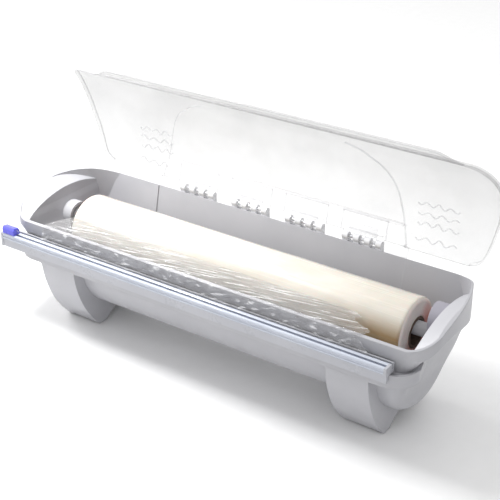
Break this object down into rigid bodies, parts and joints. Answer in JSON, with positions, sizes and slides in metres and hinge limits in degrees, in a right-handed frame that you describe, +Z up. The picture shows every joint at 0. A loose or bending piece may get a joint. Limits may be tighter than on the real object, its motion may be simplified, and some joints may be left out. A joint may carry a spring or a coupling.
{
  "type": "cling film dispenser",
  "caption": "Countertop cling film dispenser: trough on pedestals with a hanging film roll, sliding cutter on a front rail and a clear hinged lid, shown open.",
  "frame": {"origin": "centre of the bottom of the bounding box, on the surface that the foot pads rest on", "axes": "+X along the roll towards the right end, +Y towards the hinge, +Z up"},
  "size_m": [0.564, 0.1795, 0.2891],
  "materials": {
    "trough_plastic": "fine satin moulded surface, cool light grey",
    "rail_plastic": "satin extruded surface, cool light grey",
    "track_plastic": "semi-gloss extruded surface with a blue tint",
    "pin_plastic": "satin moulded surface, light grey",
    "pin_steel": "drawn wire",
    "clear_plastic": "clear glossy moulded sheet",
    "wound_film": "glossy wound film, cream with an amber depth",
    "free_film": "thin clear wrinkled film",
    "core_card": "spiral-wound board",
    "slider_plastic": "moulded violet-blue",
    "blade_steel": "ground edge",
    "pad_rubber": "soft grey rubber"
  },
  "bodies": {
    "base": {"film_web": "free_film", "foot_pad_back_left": "pad_rubber", "foot_pad_back_right": "pad_rubber", "foot_pad_front_left": "pad_rubber", "foot_pad_front_right": "pad_rubber", "hinge_block_1": "trough_plastic", "hinge_block_2": "trough_plastic", "hinge_block_3": "trough_plastic", "hinge_block_4": "trough_plastic", "hinge_pin_1": "pin_steel", "hinge_pin_2": "pin_steel", "hinge_pin_3": "pin_steel", "hinge_pin_4": "pin_steel", "rail_base": "rail_plastic", "rail_cap_left": "rail_plastic", "rail_cap_right": "rail_plastic", "rail_track": "track_plastic", "roll_bracket_left": "trough_plastic", "roll_bracket_right": "trough_plastic", "support_pin_left": "pin_plastic", "support_pin_right": "pin_plastic", "trough_body": "trough_plastic"},
    "lid": {"lid_clip_1": "clear_plastic", "lid_clip_2": "clear_plastic", "lid_clip_3": "clear_plastic", "lid_clip_4": "clear_plastic", "lid_shell": "clear_plastic"},
    "roll": {"core_tube": "core_card", "film_roll": "wound_film"},
    "cutter": {"slider_blade": "blade_steel", "slider_body": "slider_plastic", "slider_keel": "slider_plastic"}
  },
  "joints": [
    {"name": "lid_hinge", "type": "hinge", "parent": "base", "child": "lid", "pos_m": [0, 0.08175, 0.144], "axis": [1, 0, 0], "range_deg": [0, 79]},
    {"name": "roll_spin", "type": "hinge", "parent": "base", "child": "roll", "pos_m": [0, 0.00875, 0.098], "axis": [1, 0, 0], "continuous": true},
    {"name": "cutter_slide", "type": "slide", "parent": "base", "child": "cutter", "axis": [1, 0, 0], "range_m": [0, 0.49]}
  ]
}
